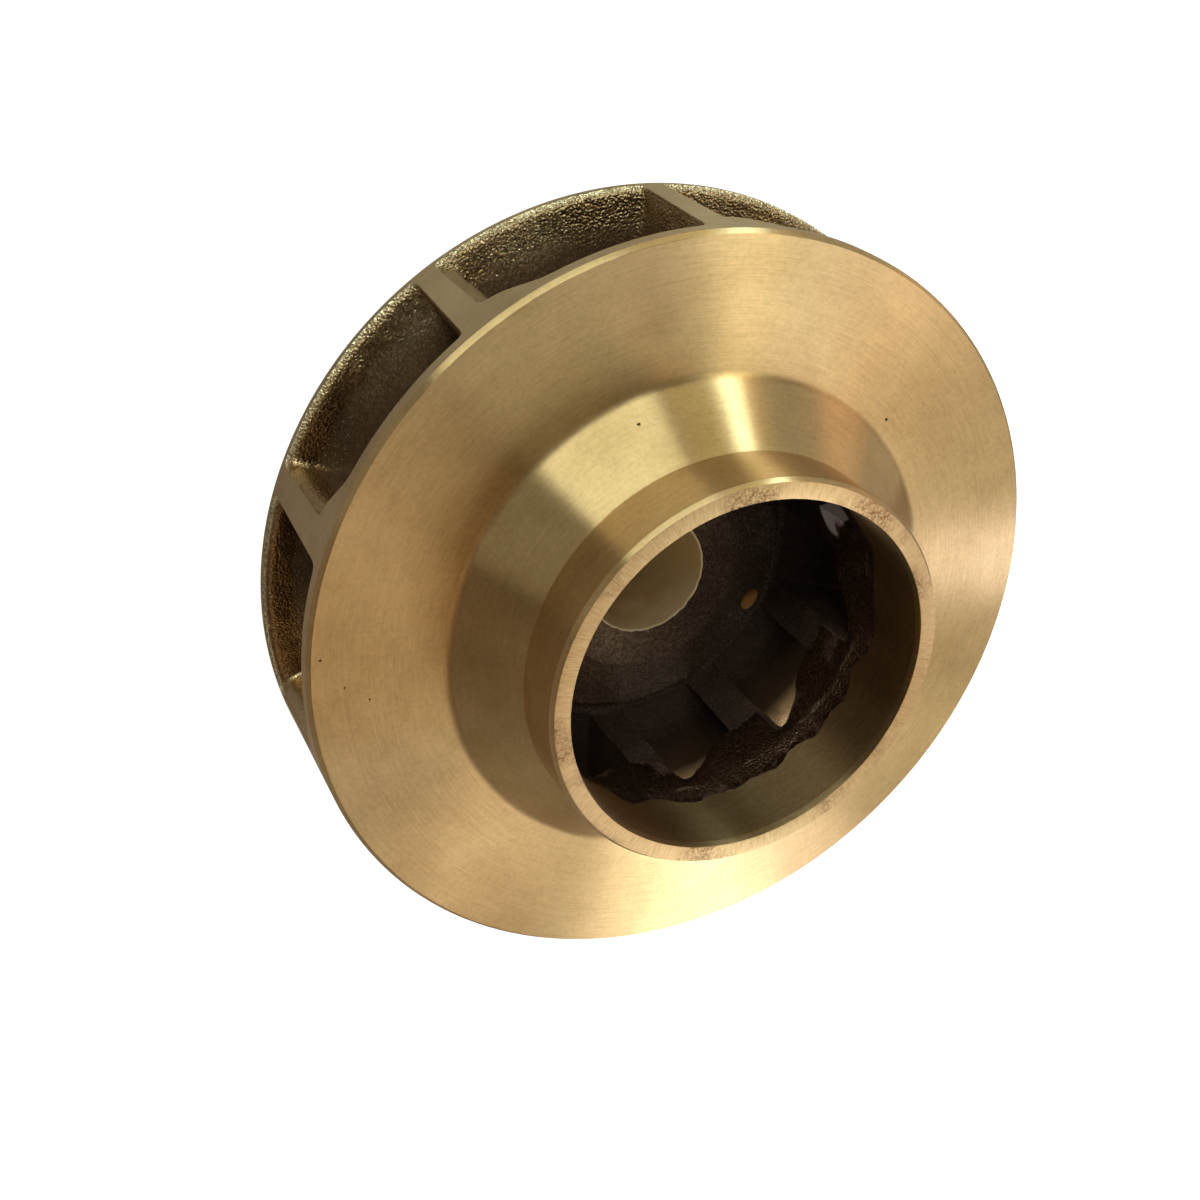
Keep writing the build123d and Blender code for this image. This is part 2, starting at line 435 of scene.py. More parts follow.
def front_skin(s):
    """Everything turned on the front, and the ragged end of the turning in the eye: rings of
    points (radius, height) by column, the last of them on the rough wall."""
    angle = FIRST_COLUMN + np.arange(COLUMNS)
    profile = outer_profile(s)
    radius = np.repeat(profile[:, :1], COLUMNS, axis=1)
    height = np.repeat(profile[:, 1:], COLUMNS, axis=1)
    slow, quick = ring_waves(angle, 24.0, 11), ring_waves(angle, 5.0, 12)
    edge = s["eye_step"] + 0.85 * slow + 0.2 * quick
    notch = 0.25 * ring_waves(angle, 4.0, 13)
    eye, wall = s["eye_radius"], s["wall_radius"]
    tail = [
        (eye, edge),
        (eye + 0.35 + 0.3 * notch, edge - 0.12),
        (eye + 1.2 + notch, edge - 0.5),
        (wall + 0.1 + notch, edge - 1.3),
        (wall + 0.45 + 0.6 * notch, edge - 2.6),
        (wall + 0.35, 38.6),
        (wall + 0.1, 37.2),
        (wall, EYE_FRAME_TOP),
    ]
    radius = np.concatenate([radius, [r + 0 * angle for r, _ in tail]])
    height = np.concatenate([height, [z + 0 * angle for _, z in tail]])
    rows = len(radius)
    cast = np.zeros(rows)
    cast[-6:] = (0.4, 1, 1, 1, 1, 1)
    kind = np.full(rows - 1, TURNED)
    kind[-7:] = CAST
    top = profile[:, 1] > s["rim_height"] - 0.9
    kind[: len(profile) - 1][top[:-1] & top[1:]] = RIM_END
    kind[int(np.argmax(top)) + 8 : rows - 8] = EYE
    kind[:3] = SIDE
    return polar(radius, angle[None], height), cast, kind


def keyed(radius, angle, s):
    """The bore's radius with its keyway: the flat bottom lies at x = bore + depth and the sides at
    y = half the width, both as seen along the key's own direction."""
    off = (angle - KEY_ANGLE + 180.0) % 360.0 - 180.0
    half, bottom = s["key_width"] / 2, s["bore_radius"] + s["key_depth"]
    bore_corner = math.degrees(math.asin(half / s["bore_radius"]))
    slot_corner = math.degrees(math.atan2(half, bottom))
    near = np.sign(off) * np.interp(
        np.abs(off), [0, 14, 19, 40, 180], [0, slot_corner, bore_corner, 40, 180]
    )
    size = np.abs(near)
    flat = bottom / np.cos(np.radians(np.minimum(size, slot_corner)))
    wall = half / np.sin(np.radians(np.maximum(size, slot_corner)))
    slot = np.where(size <= slot_corner + 1e-6, flat, wall)
    inside = size < bore_corner + 1e-6
    return np.where(inside, np.maximum(slot, radius), radius), near + KEY_ANGLE


def shoulder(s):
    """The hub's shoulder as the groove's radius, its height there, and its fall for each
    millimetre outwards."""
    groove = s["nose_radius"] + s["groove_width"]
    crest = s["hub_height"] - s["groove_depth"]
    return groove, crest, (crest - s["ridge_height"]) / (s["ridge_radius"] - groove)


def hub_profile(s):
    """Rough hub from the nose over the groove and the shoulder down to the passage floor, and
    the radii of the band that the balance holes take over."""
    groove, crest, slope = shoulder(s)
    head = [
        (16.6, s["hub_height"], 0),
        (18.6, s["hub_height"], 0),
        (s["nose_radius"], s["hub_height"], 1.3),
        (groove, crest, 0.9),
    ]
    block = np.linspace(*HOLE_BAND, HOLE_ROWS)
    middle = [(r, crest - slope * (r - groove), 0) for r in (24.0, 25.8, *block)]
    tail = [
        (s["ridge_radius"], s["ridge_height"], 0.5),
        (s["foot_radius"], s["floor_height"], 1.8),
        (EYE_FRAME_FOOT, s["floor_height"], 0),
    ]
    return rounded(head + middle + tail), block


def rear_skin(s):
    """Rear edge, rear face, bore with its keyway and the hub as rings by column, and the rows
    that the balance holes take over: the first in the rear face, the first in the shoulder, and
    how many."""
    hub, block = hub_profile(s)
    outer, gap = s["outer_radius"], s["rear_break"]
    rear = [(outer, FRAME_FOOT, 0), (outer - gap, 0.0, 0), (60.0, 0.0, 0), (45.0, 0.0, 0)]
    rear += [(r, 0.0, 0) for r in block[::-1]]
    end = -s["boss_length"]
    rear += [
        (s["boss_radius"], 0.0, s["boss_root"]),
        (s["boss_radius"], end + 1.0, 0.15),
        (s["boss_radius"] - 1.0, end, 0.15),
        (16.5, end, 0),
    ]
    rear = rounded(rear)
    bore, cut = s["bore_radius"], s["bore_chamfer"]
    bored = [
        (bore + cut, end, 0, True),
        (bore, end + cut, 0, True),
        (bore, s["hub_height"] - 0.25, 1, True),
        (bore + 0.3, s["hub_height"], 0.8, True),
    ]
    columns = FIRST_COLUMN + np.arange(COLUMNS)
    rough = 0.22 * ring_waves(columns, 14.0, 21)
    rings = []
    for r, z, ragged, key in [(*p, 0, False) for p in rear] + bored + [(*p, 0, False) for p in hub]:
        radius, angle = keyed(np.full(COLUMNS, r), columns, s) if key else (r, columns)
        rings.append(polar(radius, angle, z + ragged * rough))
    points = np.array(rings)
    start = len(rear) + len(bored)
    cast = np.zeros(len(points))
    cast[start + 1 :] = 1.0
    kind = np.full(len(points) - 1, TURNED)
    kind[start - 1 :] = CAST
    kind[len(rear) : start - 1] = BORED
    kind[0] = SIDE
    first_rear = 4
    first_hub = start + int(np.argmin(np.abs(hub[:, 0] - block[0])))
    return points, cast, kind, (first_rear, first_hub, len(block) - 1)


def hole_grid(middle, s, block_rows):
    """A balance hole as one grid: the loop runs round the hole, the rows from the edge of the
    piece it takes out of the shoulder, down the hole, to the edge of that in the rear face."""
    side, rise = loop_fractions(HOLE_COLUMNS, block_rows)
    low, high = HOLE_BAND
    angle = middle - HOLE_COLUMNS / 2 + HOLE_COLUMNS * side
    edge = polar(low + (high - low) * rise, angle, 0.0)[:, :2]
    centre = polar(s["hole_circle"], middle, 0.0)[:2]
    arm = edge - centre
    circle = centre + s["hole_radius"] * arm / np.linalg.norm(arm, axis=1)[:, None]
    groove, crest, slope = shoulder(s)
    rows = []
    shares = (0.0, 0.5, 0.93, 1.0, 1.0, 1.0, 0.5, 0.0)
    downs = (0.0, 0.0, 0.0, 0.12, 0.9, 1.0, 1.0, 1.0)
    for share, down in zip(shares, downs):
        flat = edge + (circle - edge) * share
        top = crest - slope * (np.linalg.norm(flat, axis=1) - groove)
        rows.append(np.column_stack([flat, top * (1 - down)]))
    cast = np.array([1.0, 0.8] + [0.0] * 6)
    kind = np.array([CAST, CAST, BORED, BORED, BORED, TURNED, TURNED])
    return np.array(rows), cast, kind


def grid_faces(rows, columns, closed):
    """Quads of a grid, as (row, column, four corners); closed joins the last column to the first."""
    i = np.arange(rows * columns).reshape(rows, columns)
    if closed:
        i = np.concatenate([i, i[:, :1]], axis=1)
    return np.stack([i[:-1, :-1], i[:-1, 1:], i[1:, 1:], i[1:, :-1]], axis=-1)


ALL = slice(None)


def joined(parts):
    """One mesh from (points, roughness by row, kind by row of faces, faces kept, flip) grids:
    points that fall together become one, which keeps the smaller roughness."""
    points, rough, faces, kinds, start = [], [], [], [], 0
    for grid, cast, kind, kept, flip in parts:
        rows, columns = grid.shape[:2]
        quads = grid_faces(rows, columns, True)
        order = quads[..., ::-1] if flip else quads
        row_kind = np.repeat(kind[:, None], quads.shape[1], axis=1)
        faces.append(order[kept].reshape(-1, 4) + start)
        kinds.append(row_kind[kept].ravel())
        points.append(grid.reshape(-1, 3))
        rough.append(np.repeat(cast, columns))
        start += rows * columns
    points = np.concatenate(points)
    rough = np.concatenate(rough)
    keys = np.rint(points * 2e4).astype(np.int64)
    _, first, back = np.unique(keys, axis=0, return_index=True, return_inverse=True)
    back = back.reshape(-1)
    calmest = np.full(len(first), 9.0)
    np.minimum.at(calmest, back, rough)
    faces = back[np.concatenate(faces)]
    used = np.unique(faces)
    place = np.zeros(len(first), int)
    place[used] = np.arange(len(used))
    return points[first][used], calmest[used], place[faces], np.concatenate(kinds)


def cast_swell(points, rough, s):
    """Moves cast points by about the unevenness, each coordinate by its own slow and quick waves."""
    amount = s["unevenness"] * rough[:, None]
    slow = np.stack([waves(points, 11.0, 30 + i) for i in range(3)], axis=1)
    quick = np.stack([waves(points, 3.0, 40 + i) for i in range(3)], axis=1)
    return points + amount * (0.75 * slow + 0.3 * quick)


def casting_lump(points, s):
    """A small lump left on the passage floor: a raised cap h (1 - (d / w)^2)^2 within width w."""
    at, height, width = polar(71.0, 137.5, s["floor_height"]), 1.0, 1.9
    d = np.linalg.norm((points - at)[:, :2], axis=1) / width
    near = (d < 1) & (np.abs(points[:, 2] - s["floor_height"]) < 1.6)
    points[near, 2] += height * (1 - d[near] ** 2) ** 2
    return points


def impeller_mesh(s):
    """Points, faces and finish of the whole casting."""
    parts = [(*front_skin(s), ALL, False)]
    rear, cast, kind, (first_rear, first_hub, block_rows) = rear_skin(s)
    kept = np.ones((len(rear) - 1, COLUMNS), bool)
    for n in range(s["hole_count"]):
        middle = (HOLE_ANGLE + 360.0 / s["hole_count"] * n) % 360.0
        column = int(round(middle - HOLE_COLUMNS / 2 - FIRST_COLUMN)) % COLUMNS
        taken = (column + np.arange(HOLE_COLUMNS)) % COLUMNS
        kept[first_rear : first_rear + block_rows, taken] = False
        kept[first_hub : first_hub + block_rows, taken] = False
        parts.append((*hole_grid(middle, s, block_rows), ALL, False))
    parts.append((rear, cast, kind, kept, True))
    for index in range(s["vane_count"]):
        grid, cast = passage_cell(index, s)
        kind = np.full(len(grid) - 1, CAST)
        kind[: len(MOUTH_SHARES) - 1] = SIDE
        parts.append((grid, cast, kind, ALL, True))
    points, rough, faces, kinds = joined(parts)
    points = casting_lump(cast_swell(points, rough, s), s)
    points[:, 2] += s["boss_length"]
    return points, faces, kinds


def placed(name, data):
    """A new object with this data in the scene."""
    thing = bpy.data.objects.new(name, data)
    bpy.context.scene.collection.objects.link(thing)
    return thing


def new_object(name, points, faces, kinds, materials):
    """A mesh object at the origin with one material slot for each finish."""
    mesh = bpy.data.meshes.new(name)
    mesh.from_pydata((points * MM).tolist(), [], faces.tolist())
    mesh.validate()
    for material in materials:
        mesh.materials.append(material)
    mesh.polygons.foreach_set("material_index", kinds.astype(np.int32))
    mesh.polygons.foreach_set("use_smooth", np.ones(len(faces), bool))
    mesh.update()
    mesh.set_sharp_from_angle(angle=math.radians(SHARP_ANGLE))
    return placed(name, mesh)


# ---- finishes --------------------

WHITE = (1.0, 1.0, 1.0, 1.0)


class Nodes:
    """The node tree of a material or a world, with short ways to add and join nodes."""

    def __init__(self, owner, output="OutputMaterial"):
        self.owner = owner
        owner.use_nodes = True
        self.tree = owner.node_tree
        self.tree.nodes.clear()
        self.out = self.tree.nodes.new("ShaderNode" + output)

    def put(self, socket, value):
        """Joins another node's socket to this one, or sets this one's value."""
        if isinstance(value, bpy.types.NodeSocket):
            self.tree.links.new(value, socket)
        else:
            socket.default_value = value

    def add(self, kind, settings=None, **inputs):
        """Adds a node; inputs are values or other nodes' sockets, by the sockets' names, or by
        their numbers as i0, i1 and so on."""
        node = self.tree.nodes.new("ShaderNode" + kind)
        for key, value in (settings or {}).items():
            setattr(node, key, value)
        for key, value in inputs.items():
            numbered = key[0] == "i" and key[1:].isdigit()
            self.put(node.inputs[int(key[1:]) if numbered else key.replace("_", " ")], value)
        return node

    def math(self, operation, a, b=0.0):
        """The output of one arithmetic node."""
        return self.add("Math", {"operation": operation}, i0=a, i1=b).outputs[0]

    def plus(self, a, b):
        """a + b"""
        return self.math("ADD", a, b)

    def times(self, a, b):
        """a b"""
        return self.math("MULTIPLY", a, b)

    def above(self, a, b):
        """1 where a is greater than b, else 0."""
        return self.math("GREATER_THAN", a, b)

    def below(self, a, b):
        """1 where a is less than b, else 0."""
        return self.math("LESS_THAN", a, b)

    def vector(self, operation, a, b=(0, 0, 0)):
        """The output of one node on vectors: a number where the operation gives a number."""
        node = self.add("VectorMath", {"operation": operation}, i0=a, i1=b)
        number = operation in ("DOT_PRODUCT", "DISTANCE", "LENGTH")
        return node.outputs["Value" if number else "Vector"]

    def object_place(self):
        """Object coordinates, in metres."""
        return self.add("TexCoord").outputs["Object"]

    def from_axis(self, place):
        """Distance from the shaft axis: the length of (x, y, 0)."""
        return self.vector("LENGTH", self.vector("MULTIPLY", place, (1, 1, 0)))

    def noise(self, place, scale, detail, roughness=0.5):
        """Cloudy noise between 0 and 1."""
        node = self.add("TexNoise", Vector=place, Scale=scale, Detail=detail, Roughness=roughness)
        return node.outputs[0]

    def ramp(self, factor, stops):
        """A colour ramp through (place, grey or colour) stops."""
        node = self.add("ValToRGB", Fac=factor)
        elements = node.color_ramp.elements
        while len(elements) < len(stops):
            elements.new(0.5)
        for element, (place, value) in zip(elements, stops):
            element.position = place
            element.color = (*(value if isinstance(value, tuple) else (value,) * 3), 1.0)
        return node.outputs["Color"]

    def mix(self, factor, a, b, blend="MIX"):
        """One colour mixed with another."""
        node = self.add("Mix", {"data_type": "RGBA", "blend_type": blend})
        for number, value in ((0, factor), (6, a), (7, b)):
            self.put(node.inputs[number], value)
        return node.outputs[2]

    def tint(self, a, b):
        """One colour multiplied by another."""
        return self.mix(1.0, a, b, "MULTIPLY")

    def bump(self, strength, distance, height):
        """Normals of a surface with this height on it."""
        return self.add("Bump", Strength=strength, Distance=distance, Height=height).outputs[0]

    def finish(self, shader):
        """Joins the shader to the output."""
        self.tree.links.new(shader.outputs[0], self.out.inputs[0])
        return self.owner

    def metal(self, tone, roughness, **more):
        """Finishes a material as one principled surface."""
        shader = self.add("BsdfPrincipled", Base_Color=tone, Roughness=roughness, **more)
        return self.finish(shader)

    def brushed(self, tone, roughness, anisotropy, around, normal):
        """Finishes a material as metal whose marks run round the axis."""
        return self.metal(tone, roughness, Metallic=1.0, Anisotropic=anisotropy,
                          Anisotropic_Rotation=0.25, Tangent=around, Normal=normal)


def new_nodes(name):
    """The nodes of a new material."""
    return Nodes(bpy.data.materials.new(name))


def scaled(base, *factors):
    """A colour with its red, green and blue each times a factor, up to 1."""
    return (*(min(1.0, c * k) for c, k in zip(base, factors)), 1.0)


def lathe_coordinates(n):
    """Object coordinates, a place for marks that run round the axis, and the direction round it.
    The second is the outward direction times ten, and as height the distance along the profile
    (radius minus height) in tenths of a millimetre, so that a mark is long round the axis and
    thin along the profile."""
    place = n.object_place()
    x, y, z = n.add("SeparateXYZ", Vector=place).outputs
    radius = n.math("SQRT", n.plus(n.times(x, x), n.times(y, y)))
    along = n.times(n.math("SUBTRACT", radius, z), 10000.0)
    outward = n.add("CombineXYZ", X=n.math("DIVIDE", x, radius), Y=n.math("DIVIDE", y, radius))
    ring = n.vector("MULTIPLY", outward.outputs[0], (10, 10, 10))
    mark = n.vector("ADD", ring, n.add("CombineXYZ", Z=along).outputs[0])
    return place, mark, n.vector("CROSS_PRODUCT", (0, 0, 1), outward.outputs[0])


def pore_mask(n, place, pores):
    """1 inside the open pores, each a (radius, angle, height, size) in millimetres and degrees."""
    nearest = None
    for radius, angle, height, size in pores:
        at = tuple(polar(radius, angle, height) * MM)
        share = n.math("DIVIDE", n.vector("DISTANCE", place, at), size * MM)
        nearest = share if nearest is None else n.math("MINIMUM", nearest, share)
    wobble = n.noise(place, 3000.0, 1.0)
    edge = n.plus(nearest, n.math("SUBTRACT", wobble, 0.5))
    return n.ramp(edge, [(0.7, 1.0), (1.0, 0.0)])


def turned_material(name, base, roughness, anisotropy, ring_bump, contrast, pores):
    """Turned bronze: fine marks round the axis, slow cloudiness and a few open pores."""
    n = new_nodes(name)
    place, mark, around = lathe_coordinates(n)
    fine = n.noise(mark, 0.95, 2.0, 0.6)
    broad = n.noise(mark, 0.2, 2.0)
    cloud = n.ramp(n.noise(place, 42.0, 5.0, 0.6), [(0.32, 0.0), (0.68, 1.0)])
    tone = n.mix(cloud, scaled(base, 0.84, 0.80, 0.74), scaled(base, 1.1, 1.1, 1.1))
    for pattern, start, depth, end in (
        (fine, 0.32, 1.0, 0.62),
        (n.noise(place, 1300.0, 2.0), 0.3, 0.6, 0.6),
        (broad, 0.3, 0.3, 0.7),
    ):
        tone = n.tint(tone, n.ramp(pattern, [(start, 1.0 - depth * contrast), (end, 1.0)]))
    if pores:
        tone = n.mix(pore_mask(n, place, pores), tone, (0.05, 0.03, 0.015, 1.0))
    normal = n.bump(ring_bump, 0.00003, n.plus(fine, n.times(broad, 0.6)))
    return n.brushed(tone, roughness, anisotropy, around, normal)


# Painted shade of the cast skin: by radius in tenths of a metre (hub nose, shoulder, foot, deep
# passages darkest, passage mouths), and inside the hub's edge by how far the place faces the lit side,
# 0 to 1.
CAST_SHADE_ZONES = (
    (0.2, (0.42, 0.42, 0.5)), (0.24, (0.3, 0.29, 0.33)),
    (0.335, (0.28, 0.28, 0.33)), (0.365, (0.27, 0.28, 0.36)),
    (0.378, (0.097, 0.097, 0.13)), (0.43, (0.097, 0.097, 0.13)),
    (0.5, (0.055, 0.05, 0.06)), (0.59, (0.07, 0.065, 0.055)),
    (0.65, (0.42, 0.39, 0.36)), (0.7, 1.0),
)
HUB_EDGE = 0.36
HUB_SHADES = (
    (0.25, 0.54), (0.45, 0.42), (0.6, 0.42), (0.75, 0.56), (0.88, 0.6), (0.95, 0.74), (1.0, 1.0),
)
# Share of clean, mirroring metal in the cast skin by radius, and strength of its grain.
CAST_CLEAN = ((0.3, 0.15), (0.36, 0.04), (0.59, 0.04), (0.65, 0.65), (0.7, 1.0))
CAST_GRAIN = ((0.34, 0.9), (0.36, 1.0), (0.377, 0.6), (0.62, 0.6), (0.7, 1.0))


def cast_material(base, grain):
    """Sand-cast bronze: a dark grainy skin with small bright specks painted as glints, calmer on one
    side, with painted shade by zone and on the hub, passage mouths painted paler as light on the lit
    side, rubbed vane ends, painted glints along the floors' lips, a rough wall, and in the eye a
    painted highlight patch and painted highlight streaks. Radius is from the axis and side towards the
    lit side, both in tenths of a metre; height is in metres."""
    n = new_nodes("sand_cast_bronze")
    place = n.object_place()
    height = n.add("SeparateXYZ", Vector=place).outputs[2]
    radius = n.times(n.from_axis(place), 10.0)
    side = n.vector("DOT_PRODUCT", place, (0.9, 9.96, 0.0))

    # skin: dark and light grains, slow cloudiness, darker towards one side, and bright specks in the
    # passage mouths painted as glints
    calm = n.ramp(side, [(0.15, 0.25), (0.45, 0.7), (0.65, 0.95)])
    calm = n.math("MAXIMUM", calm, n.times(n.below(radius, 0.5), 0.8))
    strength = n.times(n.ramp(radius, CAST_GRAIN), calm)
    scale = 1.0 / grain
    sand = n.add("TexVoronoi", {"feature": "SMOOTH_F1"}, Vector=place, Scale=scale * 1.3)
    rough = n.noise(place, scale * 1.1, 2.5, 0.6)
    relief = n.plus(n.times(sand.outputs["Distance"], -1.4), n.times(rough, 0.9))
    dark, light = scaled(base, 0.5, 0.46, 0.42)[:3], scaled(base, 1.8, 1.8, 1.8)[:3]
    tone = n.mix(strength, base, n.ramp(rough, [(0.4, dark), (0.54, base[:3]), (0.68, light)]))
    tone = n.tint(tone, n.ramp(n.noise(place, 80.0, 3.0), [(0.3, 0.75), (0.7, 1.0)]))
    tone = n.tint(tone, n.ramp(side, [(0.5, 1.0), (0.65, 0.76)]))
    # painted glints: a few random grains painted near-white in the passage mouths
    glint_cells = n.add("TexVoronoi", {"feature": "F1"}, Vector=place, Scale=scale * 1.6)
    chance = n.add("SeparateXYZ", Vector=glint_cells.outputs["Color"]).outputs[0]
    painted_glints = n.times(n.below(glint_cells.outputs["Distance"], 0.34), n.above(chance, 0.92))
    tone = n.mix(n.times(painted_glints, n.above(radius, 0.65)), tone, (1.0, 0.88, 0.62, 1.0))
    # painted light: the passage mouths on the lit side painted paler
    side_light = n.times(n.ramp(side, [(0.35, 0.0), (0.75, 0.4)]), n.ramp(radius, [(0.62, 0.0), (0.7, 1.0)]))
    skin = n.mix(side_light, tone, (0.72, 0.53, 0.31, 1.0))

    # painted shade by radius, darkest in the deep passages, and on the hub painted shade by facing:
    # 0.5 + 0.5 cos of the angle to its lit side
    facing = n.math("DIVIDE", n.vector("DOT_PRODUCT", place, (-2.868, -4.096, 0.0)), radius)
    shade = n.ramp(n.plus(0.5, facing), HUB_SHADES)
    shade = n.mix(n.below(radius, HUB_EDGE), WHITE, shade)
    tone = n.tint(skin, n.tint(n.ramp(radius, CAST_SHADE_ZONES), shade))

    # the rough wall under the turned eye, whose radius is 0.4 mm larger above 44 mm
    inner = n.math("SUBTRACT", radius, n.times(n.above(height, 0.044), 0.004))
    wall = n.times(n.ramp(inner, [(0.3735, 1.0), (0.3745, 0.0)]), n.above(height, 0.033))
    tone = n.mix(wall, tone, n.tint(skin, (0.5, 0.5, 0.66, 1.0)))
    clean = n.math("MAXIMUM", wall, n.ramp(radius, CAST_CLEAN))

    # a painted highlight patch in the eye where light falls on a vane's side, rubbed vane ends, and
    # painted glints along the lip of the passage floors
    # painted highlight: a pale patch where light falls on a vane's side in the eye
    patch = n.times(n.vector("DISTANCE", place, tuple(polar(38.4, 16.0, 31.0) * MM)), 100.0)
    tone = n.mix(n.ramp(patch, [(0.4, 1.0), (0.5, 0.0)]), tone, (0.78, 0.66, 0.62, 1.0))
    mouth = n.times(n.ramp(radius, [(0.722, 0.0), (0.732, 0.4)]), n.above(height, 0.0125))
    tone = n.mix(mouth, tone, (0.72, 0.56, 0.36, 1.0))
    # painted glints: a thin near-white sparkling line along the floors' outer lip
    lip = n.times(n.ramp(radius, [(0.7455, 0.0), (0.747, 1.0)]), n.below(height, 0.0125))
    lip = n.times(lip, n.ramp(rough, [(0.38, 0.2), (0.5, 1.0)]))
    tone = n.mix(lip, tone, (1.0, 0.88, 0.6, 1.0))

    # painted highlight in broken streaks along the rough wall above the windows, within 0.45 mm of a
    # swaying height
    level = n.plus(40.5, n.times(n.noise(place, 70.0, 2.0), 8.0))
    gap = n.math("ABSOLUTE", n.math("SUBTRACT", n.times(height, 1000.0), level))
    broken = n.ramp(n.noise(place, 170.0, 3.0), [(0.48, 0.0), (0.56, 1.0)])
    wall_streaks = n.times(n.times(n.below(gap, 0.45), broken), n.below(radius, 0.376))
    tone = n.mix(wall_streaks, tone, (0.45, 0.38, 0.29, 1.0))
    normal = n.bump(strength, 0.0003, relief)
    return n.metal(tone, 0.32, Metallic=clean, Specular_IOR_Level=0.0, Normal=normal)


def rim_material(base):
    """Coarsely faced bronze: short marks along the profile, pits and patches of grime."""
    n = new_nodes("rim_end_bronze")
    place, mark, around = lathe_coordinates(n)
    coarse = n.noise(n.vector("MULTIPLY", mark, (24.0, 24.0, 0.045)), 1.0, 3.0, 0.6)
    along = n.noise(mark, 0.3, 3.0)
    patch = n.ramp(n.noise(place, 95.0, 4.0), [(0.5, 0.0), (0.66, 1.0)])
    grit = n.noise(place, 1500.0, 3.0, 0.7)
    grime = n.times(patch, n.ramp(grit, [(0.42, 1.0), (0.6, 0.15)]))
    marks = n.ramp(coarse, [(0.3, 1.0), (0.6, 0.0)])
    tone = n.mix(marks, base, scaled(base, 0.74, 0.66, 0.58))
    tone = n.mix(grime, tone, scaled(base, 0.3, 0.22, 0.18))
    relief = n.plus(n.times(coarse, 0.6), n.plus(n.times(along, 0.5), grit))
    return n.brushed(tone, 0.36, 0.95, around, n.bump(0.7, 0.00007, relief))


def bored_material(base):
    """Smooth drilled bronze, dull enough to catch light from any side: painted paler on one side of
    the bore where light falls, and the balance holes, which lie more than 20 mm from the axis, painted
    orange as light shining through them."""
    n = new_nodes("bored_bronze")
    place = n.object_place()
    cloud = n.ramp(n.noise(place, 150.0, 3.0), [(0.35, 0.0), (0.65, 1.0)])
    tone = n.mix(cloud, scaled(base, 0.85, 0.78, 0.7), base)
    # painted light: the bore is paler on the side where light falls
    side = n.plus(n.vector("DOT_PRODUCT", place, (-13.0, -37.8, 0.0)), 0.5)
    pale = n.ramp(side, [(0.3, 1.0), (0.8, 0.0)])
    tone = n.mix(pale, tone, scaled(base, 1.34, 1.32, 1.22))
    # painted light: the balance holes painted orange as light shining through them
    tone = n.mix(n.above(n.from_axis(place), 0.02), tone, (0.62, 0.31, 0.09, 1.0))
    return n.metal(tone, 0.5, Metallic=0.3)


FACE_PORES = (
    (72.6, 173.0, 42.0, 0.3),
    (68.3, 178.0, 42.0, 0.25),
    (64.0, 181.0, 42.0, 0.25),
    (52.8, 41.0, 42.0, 0.35),
    (51.0, 16.0, 42.6, 0.3),
    (46.0, 107.0, 45.5, 0.4),
)


def bronze_materials(finish):
    """The finishes in the order of the mesh's kinds: turned, cast, rim end, side, bored, eye."""
    return [
        turned_material("turned_bronze", tuple(finish.turned), 0.31, 1.0, 0.25, 0.17, FACE_PORES),
        cast_material(tuple(finish.cast), finish.grain),
        rim_material(tuple(finish.rim)),
        turned_material("turned_side_bronze", tuple(finish.side), 0.38, 0.85, 0.5, 0.12, ()),
        bored_material(tuple(finish.bored)),
        turned_material("eye_bronze", tuple(finish.eye), 0.40, 0.9, 0.4, 0.3, ()),
    ]


# ---- studio --------------------


def studio_world():
    """White wherever the camera or a reflection looks, and a softer level as light."""
    n = Nodes(bpy.data.worlds.new("studio_world"), "OutputWorld")
    ray = n.add("LightPath").outputs
    shown = n.math("MAXIMUM", ray["Is Glossy Ray"], ray["Is Transmission Ray"])
    shown = n.math("MAXIMUM", ray["Is Camera Ray"], shown)
    seen = n.add("Background", Color=WHITE, Strength=1.0)
    light = n.add("Background", Color=WHITE, Strength=0.35)
    mix = n.add("MixShader", i0=shown, i1=light.outputs[0], i2=seen.outputs[0])
    bpy.context.scene.world = n.finish(mix)


def direction(azimuth, elevation):
    """(cos e cos a, cos e sin a, sin e), with both angles in radians."""
    flat = math.cos(elevation)
    return Vector((flat * math.cos(azimuth), flat * math.sin(azimuth), math.sin(elevation)))


LAMP_DISTANCE = 1.2
LAMP_SIDE = 0.5
LAMP_AIM = Vector((0, 0, 0.03))


def soft_lamp(name, azimuth, elevation, power):
    """A square soft lamp that faces the impeller from a direction, and that it doesn't mirror."""
    out = direction(math.radians(azimuth), math.radians(elevation))
    data = bpy.data.lights.new(name, "AREA")
    data.shape = "RECTANGLE"
    data.size = data.size_y = LAMP_SIDE
    data.energy = power
    lamp = placed(name, data)
    lamp.location = LAMP_AIM + out * LAMP_DISTANCE
    lamp.rotation_mode = "QUATERNION"
    lamp.rotation_quaternion = (-out).to_track_quat("-Z", "Y")
    lamp.visible_glossy = False


